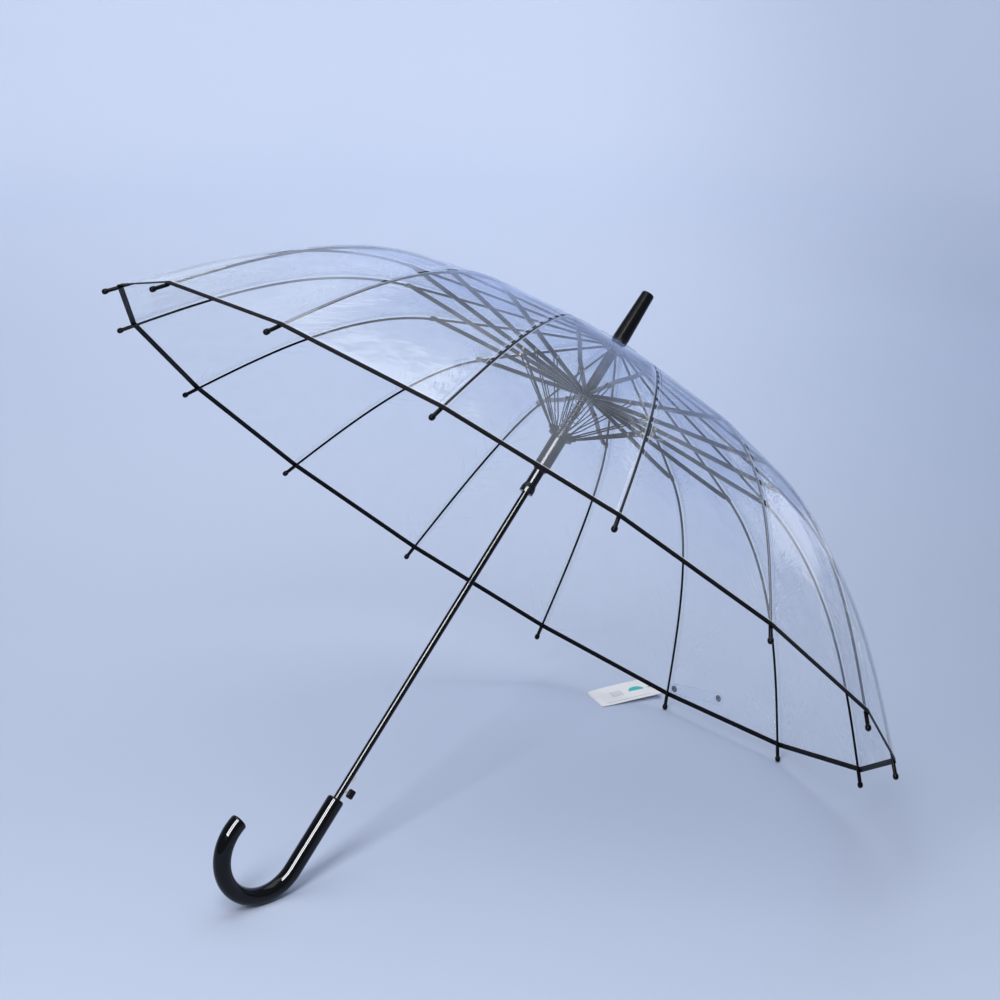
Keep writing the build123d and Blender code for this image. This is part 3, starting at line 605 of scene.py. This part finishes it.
def make_hem():
    """Black ribbon folded over the film's edge, one stretch for each rib."""
    start, end = RIB_LENGTH - HEM_WIDTH + HEM_OVER, RIB_LENGTH + HEM_OVER
    half = HEM_THICK / 2
    outline = [
        (start, half * 0.5), (start + 0.3 * MM, half), (start + 2 * MM, half * 0.92),
        (end - 0.8 * MM, half), (end - 0.2 * MM, half * 0.7), (end, 0),
        (end - 0.2 * MM, -half * 0.7), (end - 0.8 * MM, -half), (start + 2 * MM, -half * 0.92),
        (start + 0.3 * MM, -half), (start, -half * 0.5),
    ]
    columns = 25
    for i in range(RIBS):
        body = f"rib_{i + 1:02d}"
        points, uv, faces = [], [], []
        for c in range(columns):
            across = -1 + 2 * c / (columns - 1)
            x, _ = film_profile(end)
            for distance, lift in outline:
                points.append(film_point(i, distance, across, lift))
                uv.append((across * x * math.sin(PITCH / 2), distance - start))
        rim = len(outline)
        for c in range(columns - 1):
            for k in range(rim):
                a, b = c * rim + k, c * rim + (k + 1) % rim
                faces.append((a, b, b + rim, a + rim))
        hem = new_piece(f"hem_{i + 1:02d}", points, faces, RIBBON, uv=uv)
        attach(hem, body)
        closed_share(RIB_LENGTH) * HEM_CLOSED_SHARE
        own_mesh(hem)
        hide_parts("hem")


def make_rosette():
    """Second small disc of film over the crown, gently buckled at its edge, in one sector for
    each rib so that it folds down with them."""
    rings, spokes = 9, 9
    fall = math.tan(math.radians(INNER_SLOPES[1]))
    width, length = 2 * ROSETTE_RADIUS * math.sin(PITCH / 2), ROSETTE_RADIUS - FILM_CENTRE[0]
    for i in range(RIBS):
        body = f"rib_{i + 1:02d}"
        points, uv = [], []
        for r in range(rings):
            share = r / (rings - 1)
            radius = FILM_CENTRE[0] + length * share
            for s in range(spokes):
                turn = PITCH * (s / (spokes - 1) - 0.5)
                buckle = ROSETTE_BUCKLE * share**2 * math.cos(RIBS * turn)
                height = FILM_CENTRE[1] + ROSETTE_LIFT - (radius - FILM_CENTRE[0]) * fall + buckle
                points.append(place(radius, height, rib_azimuth(i) + turn))
                uv.append((radius * turn, radius))
        rosette = new_piece(f"rosette_{i + 1:02d}", points, grid_faces(rings, spokes), ROSETTE_FILM, uv=uv)
        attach(rosette, body)
        closed_share(ROSETTE_RADIUS)
        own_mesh(rosette)
        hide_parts("canopy")


# ---- closing strap and its snaps -----------------------------------------------------
STRAP_WIDTH, STRAP_THICK, STRAP_OVERHANG = 16 * MM, 0.4 * MM, 9 * MM
STRAP_LIFT, STRAP_SAG = 1.1 * MM, 0.35 * MM
SNAPS = ((11.8 * MM, 25.4 * MM), (90.0 * MM, 11.5 * MM))
SNAP_RADIUS, SNAP_THICK = 4.3 * MM, 1.4 * MM


def strap_point(side, up, lift):
    """A point over the first gore by its distance to the side of the gore's middle and up
    the film from the hem's edge."""
    distance = RIB_LENGTH - up
    x, z = film_profile(distance, lift)
    return place(x * math.cos(PITCH / 2), z, 0.0) + SIDE * side


def make_strap():
    (x0, y0), (x1, y1) = SNAPS
    along = Vector((x1 - x0, y1 - y0)).normalized()
    cross = Vector((-along.y, along.x))
    half, steps, ends = STRAP_WIDTH / 2, 20, 8
    start = Vector((x0, y0)) - along * (STRAP_OVERHANG - half)
    finish = Vector((x1, y1)) + along * (STRAP_OVERHANG - half)
    rows = []
    for k in range(ends + 1):
        a = math.pi / 2 * (1 - k / ends)
        rows.append((start - along * half * math.sin(a), half * math.cos(a)))
    for k in range(1, steps):
        rows.append((start.lerp(finish, k / steps), half))
    for k in range(ends + 1):
        a = math.pi / 2 * k / ends
        rows.append((finish + along * half * math.sin(a), half * math.cos(a)))
    columns = 7
    points, uv = [], []
    for k, (middle, reach) in enumerate(rows):
        sag = STRAP_SAG * math.sin(math.pi * k / (len(rows) - 1))
        for c in range(columns):
            at = middle + cross * reach * (2 * c / (columns - 1) - 1)
            points.append(strap_point(at.x, at.y, STRAP_LIFT + STRAP_THICK / 2 + sag))
            uv.append((at.y, at.x))
    strap = new_piece("closing_strap_film", points, grid_faces(len(rows), columns), STRAP_FILM, uv=uv)
    thicken = strap.modifiers.new("thickness", "SOLIDIFY")
    thicken.thickness, thicken.offset = STRAP_THICK, 0
    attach(strap, "rib_01")
    closed_share(RIB_LENGTH)
    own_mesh(strap)
    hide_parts("closing_strap")
    for k, (x, y) in enumerate(SNAPS):
        base = strap_point(x, y, STRAP_LIFT + STRAP_THICK)
        outward = strap_point(x, y, STRAP_LIFT + 2 * STRAP_THICK) - base
        profile = [
            (SNAP_RADIUS, 0), (SNAP_RADIUS, SNAP_THICK * 0.5), (SNAP_RADIUS * 0.93, SNAP_THICK * 0.85),
            (SNAP_RADIUS * 0.75, SNAP_THICK), (SNAP_RADIUS * 0.55, SNAP_THICK),
            (SNAP_RADIUS * 0.5, SNAP_THICK * 0.7), (SNAP_RADIUS * 0.2, SNAP_THICK * 0.7),
        ]
        points, faces = turned(base, outward, profile, 32)
        snap = new_piece(f"snap_{k + 1}", points, faces, SNAP)
        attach(snap, "rib_01")
        if k == 0:
            closed_share(RIB_LENGTH)
            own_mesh(snap)


# ---- spring, rivets ------------------------------------------------------------------
SPRING_RADIUS, SPRING_WIRE, SPRING_TURNS = 6.8 * MM, 0.65 * MM, 8
SPRING_SPAN = (139.35 * MM - PIVOT_HEIGHT, 186.65 * MM - PIVOT_HEIGHT)
SPRING_FLAT_END = 0.06  # the share of the wire that lies flat at each end
SPRING_STEPS = 24  # to a turn


def make_spring():
    steps = SPRING_TURNS * SPRING_STEPS
    low, high = SPRING_SPAN
    path = []
    for k in range(steps + 1):
        share = k / steps
        eased = min(1.0, max(0.0, (share - SPRING_FLAT_END) / (1 - 2 * SPRING_FLAT_END)))
        path.append(place(SPRING_RADIUS, low + (high - low) * eased, 2 * math.pi * SPRING_TURNS * share))
    points, faces = tube(path, SPRING_WIRE, 10)
    spring = new_piece("spring_coil", points, faces, STEEL)
    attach(spring, "upper_hub")
    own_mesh(spring)
    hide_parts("spring")


def make_rivets():
    """Domed brass rivet heads on both sides of each strut's pivot."""
    head, reach = 1.9 * MM, 3.35 * MM
    profile = [
        (head, 0), (head, 0.35 * MM), (head * 0.8, 0.75 * MM),
        (head * 0.4, 0.95 * MM), (head * 0.05, 1.0 * MM),
    ]
    for i in range(RIBS):
        joint = JOINTS[f"strut_{i + 1:02d}_hinge"]
        centre, axis = Vector(joint["pos_m"]), Vector(joint["axis"]).normalized()
        heads = [turned(centre + axis * side * reach, axis * side, profile, 20) for side in (1, -1)]
        points, faces = join_parts(heads)
        rivet = new_piece(f"rivet_{i + 1:02d}", points, faces, BRASS)
        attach(rivet, f"strut_{i + 1:02d}")


# ---- hang tag ------------------------------------------------------------------------
TAG_LENGTH, TAG_WIDTH, TAG_THICK = 85 * MM, 52 * MM, 0.6 * MM
TAG_RISE = math.radians(4.0)
TAG_HOLE_IN, TAG_HOLE_RADIUS = 6 * MM, 2 * MM
TAG_BOW = 0.35 * MM


def make_tag():
    """Card on the floor, very slightly bowed, with a punched hole at its raised end."""
    joint = JOINTS["tag_swing"]
    hinge, width_way = Vector(joint["pos_m"]), Vector(joint["axis"]).normalized()
    level = width_way.cross(Vector((0, 0, 1)))
    length_way = level * math.cos(TAG_RISE) + Vector((0, 0, math.sin(TAG_RISE)))
    card_up = length_way.cross(width_way)
    corner = hinge - length_way * (TAG_LENGTH - TAG_HOLE_IN)
    hole = Vector((TAG_LENGTH - TAG_HOLE_IN, TAG_WIDTH / 2))
    rounding, sides = 2 * MM, 64
    rim, ring = [], []
    for k in range(sides):
        a = 2 * math.pi * k / sides
        ray = Vector((math.cos(a), math.sin(a)))
        ring.append(hole + ray * TAG_HOLE_RADIUS)
        reach = min(
            (TAG_LENGTH - hole.x if ray.x > 0 else hole.x) / max(abs(ray.x), 1e-6),
            (TAG_WIDTH / 2) / max(abs(ray.y), 1e-6),
        )
        edge = hole + ray * reach
        edge.x = min(max(edge.x, 0), TAG_LENGTH)
        edge.y = min(max(edge.y, 0), TAG_WIDTH)
        near = Vector((
            min(max(edge.x, rounding), TAG_LENGTH - rounding),
            min(max(edge.y, rounding), TAG_WIDTH - rounding),
        ))
        if (edge - near).length > rounding:
            edge = near + (edge - near).normalized() * rounding
        rim.append(edge)
    layers = 14
    points, uv = [], []
    for k in range(sides):
        for m in range(layers + 1):
            flat = ring[k].lerp(rim[k], m / layers)
            points.append(flat)
            uv.append((flat.x, flat.y))
    faces = []
    for k in range(sides):
        for m in range(layers):
            a, b = k * (layers + 1) + m, ((k + 1) % sides) * (layers + 1) + m
            faces.append((a, a + 1, b + 1, b))
    bowed = []
    for flat in points:
        share = flat.x / TAG_LENGTH
        bow = TAG_BOW * math.sin(math.pi * share) * (1 + 0.4 * math.sin(flat.y * 60))
        bowed.append(corner + length_way * flat.x + width_way * flat.y + card_up * (TAG_THICK / 2 + bow))
    tag = new_piece("hang_tag_card", bowed, faces, CARD, uv=uv)
    thicken = tag.modifiers.new("thickness", "SOLIDIFY")
    thicken.thickness, thicken.offset = TAG_THICK, 0
    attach(tag, "tag")
    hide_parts("hang_tag")


# ---- camera, lights and backdrop -----------------------------------------------------
CAMERA_AT = Vector((-1.8153, -2.1387, 1.3898))
CAMERA_HEADING, CAMERA_PITCH, CAMERA_ROLL = (math.radians(a) for a in (49.733, -19.605, 0.602))
CAMERA_LENS = 96.14
BACKDROP_HALF_TURN = math.radians(80)
FLOOR_RADIUS, BEND_RADIUS, BEND_STEPS, WALL_HEIGHT = 3.2, 1.6, 12, 3.4
PAPER_IN_SHADE, PAPER_IN_LIGHT = (0.363, 0.43, 0.578, 1), (0.72, 0.80, 0.98, 1)
ROOM_LIGHT, ROOM_STRENGTH = (0.92, 0.95, 1.0, 1), 0.22
ROOM_SEEN = (0.46, 0.54, 0.74, 1)
COOL_WHITE = (0.97, 0.98, 1)
KEY_AT, KEY_FACING = Vector((-1.48, -0.94, 1.82)), Vector((0.688, 0.375, -0.621))


def make_camera():
    forward = Vector((
        math.cos(CAMERA_PITCH) * math.cos(CAMERA_HEADING),
        math.cos(CAMERA_PITCH) * math.sin(CAMERA_HEADING),
        math.sin(CAMERA_PITCH),
    ))
    level = Vector((math.sin(CAMERA_HEADING), -math.cos(CAMERA_HEADING), 0))
    right = level * math.cos(CAMERA_ROLL) + level.cross(forward) * math.sin(CAMERA_ROLL)
    up = right.cross(forward)
    data = bpy.data.cameras.new("camera")
    data.lens, data.sensor_width = CAMERA_LENS, 36
    camera = bpy.data.objects.new("camera", data)
    camera.matrix_world = Matrix((
        (right.x, up.x, -forward.x, CAMERA_AT.x),
        (right.y, up.y, -forward.y, CAMERA_AT.y),
        (right.z, up.z, -forward.z, CAMERA_AT.z),
        (0, 0, 0, 1),
    ))
    bpy.context.scene.collection.objects.link(camera)
    bpy.context.scene.camera = camera


def make_backdrop():
    """Pale seamless paper: a wide round floor that curves up behind the umbrella only, so
    that glossy black pieces still mirror a darker room on the camera's side."""
    n = Nodes("backdrop_paper")
    where = n.position()
    heading = math.cos(CAMERA_HEADING), math.sin(CAMERA_HEADING), 0.5
    to_right = math.sin(CAMERA_HEADING), -math.cos(CAMERA_HEADING), 0.0
    away = n.add("ShaderNodeVectorMath", {0: where, 1: heading}, operation="DOT_PRODUCT").outputs["Value"]
    aside = n.add("ShaderNodeVectorMath", {0: where, 1: to_right}, operation="DOT_PRODUCT").outputs["Value"]
    # painted light and shade: the paper is painted lighter further back and darker to the camera's right
    far_painted_light = n.ramp(away, 1.6, 3.8)
    right = n.math("MULTIPLY", n.ramp(aside, 0.1, 1.1), n.ramp(away, -0.6, 0.3))
    mottle = n.math("MULTIPLY", n.math("SUBTRACT", n.noise(where, 0.6, 2.0), 0.5), 0.2)
    level = n.math("SUBTRACT", n.math("MULTIPLY", far_painted_light, 0.55), n.math("MULTIPLY", right, 0.45))
    level = n.math("ADD", n.math("ADD", level, 0.40), mottle, clamp=True)
    colour = n.mix_colour(level, PAPER_IN_SHADE, PAPER_IN_LIGHT)
    inputs = {"Base Color": colour, "Roughness": 0.85, "Specular IOR Level": 0.15}
    paper = n.finish(n.add("ShaderNodeBsdfPrincipled", inputs).outputs[0])
    sides = 96
    profile = [(0.02, 0.0), (FLOOR_RADIUS, 0.0)]
    for k in range(1, BEND_STEPS + 1):
        a = math.pi / 2 * k / BEND_STEPS
        profile.append((FLOOR_RADIUS + BEND_RADIUS * math.sin(a), BEND_RADIUS * (1 - math.cos(a))))
    profile.append((FLOOR_RADIUS + BEND_RADIUS, WALL_HEIGHT))
    points = []
    for radius, z in profile:
        for s in range(sides):
            a = 2 * math.pi * s / sides
            points.append(Vector((radius * math.cos(a), radius * math.sin(a), z)))
    faces = [tuple(range(sides))]
    for k in range(len(profile) - 1):
        for s in range(sides):
            a, b = k * sides + s, k * sides + (s + 1) % sides
            turn = 2 * math.pi * (s + 0.5) / sides - CAMERA_HEADING
            if k == 0 or math.cos(turn) > math.cos(BACKDROP_HALF_TURN):
                faces.append((a, a + sides, b + sides, b))
    backdrop = new_piece("backdrop", points, faces, paper)


def area_light(name, at, target, size, power, colour=(1, 1, 1), height=None, along=None):
    """A softbox that faces target. along is the direction of its height, if that matters."""
    data = bpy.data.lights.new(name, "AREA")
    data.shape, data.size, data.size_y = "RECTANGLE", size, height or size
    data.energy, data.color = power, colour
    light = bpy.data.objects.new(name, data)
    light.location = at
    light.rotation_mode = "QUATERNION"
    back = (Vector(at) - Vector(target)).normalized()
    if along is None:
        light.rotation_quaternion = (-back).to_track_quat("-Z", "Y")
    else:
        up = (along - back * along.dot(back)).normalized()
        side = up.cross(back)
        light.rotation_quaternion = Matrix((side, up, back)).transposed().to_quaternion()
    bpy.context.scene.collection.objects.link(light)
    return light


def make_lights():
    # the key faces the shaft squarely and runs along it, and so does the panel that draws one
    # long line of light down the shaft and the handle and lights nothing else
    target = KEY_AT + KEY_FACING
    area_light("key_softbox", KEY_AT, target, 0.5, 35, (1, 0.99, 0.98), 1.7, UP)
    glint = area_light("glint_panel", KEY_AT, target, 1.1, 500, (0.92, 0.95, 1), 1.8, UP)
    glossy = bpy.data.collections.new("glossy_black_pieces")
    for name in ("handle", "shaft", "runner"):
        glossy.objects.link(frame["nodes"][name])
    glint.light_linking.receiver_collection = glossy
    glint.visible_diffuse = False
    area_light("top_softbox", (0.2, 0.4, 3.5), (0, 0.1, 0), 3.0, 60, (0.98, 0.99, 1))
    # a small low panel that the film mirrors on its right side
    area_light("right_panel", (2.5, 0.28, 0.52), (0.07, -0.39, 0.44), 0.7, 2.0, COOL_WHITE, 0.9)
    area_light("wall_wash", (0.9, 1.1, 3.0), (3.0, 3.5, 1.5), 1.6, 58, COOL_WHITE)
    world = bpy.data.worlds.new("studio")
    world.use_nodes = True
    nodes, links = world.node_tree.nodes, world.node_tree.links
    sky = nodes["Background"]
    sky.inputs["Color"].default_value = ROOM_LIGHT
    sky.inputs["Strength"].default_value = ROOM_STRENGTH
    # past the edge of the paper the room looks as pale as the paper does
    room = nodes.new("ShaderNodeBackground")
    room.inputs["Color"].default_value = ROOM_SEEN
    seen, mix = nodes.new("ShaderNodeLightPath"), nodes.new("ShaderNodeMixShader")
    links.new(seen.outputs["Is Camera Ray"], mix.inputs[0])
    links.new(sky.outputs[0], mix.inputs[1])
    links.new(room.outputs[0], mix.inputs[2])
    links.new(mix.outputs[0], nodes["World Output"].inputs["Surface"])
    bpy.context.scene.world = world
    bpy.context.scene.view_settings.view_transform = "Standard"


make_camera()
make_backdrop()
make_lights()
make_film()
make_hem()
make_rosette()
make_strap()
make_spring()
make_rivets()
make_tag()
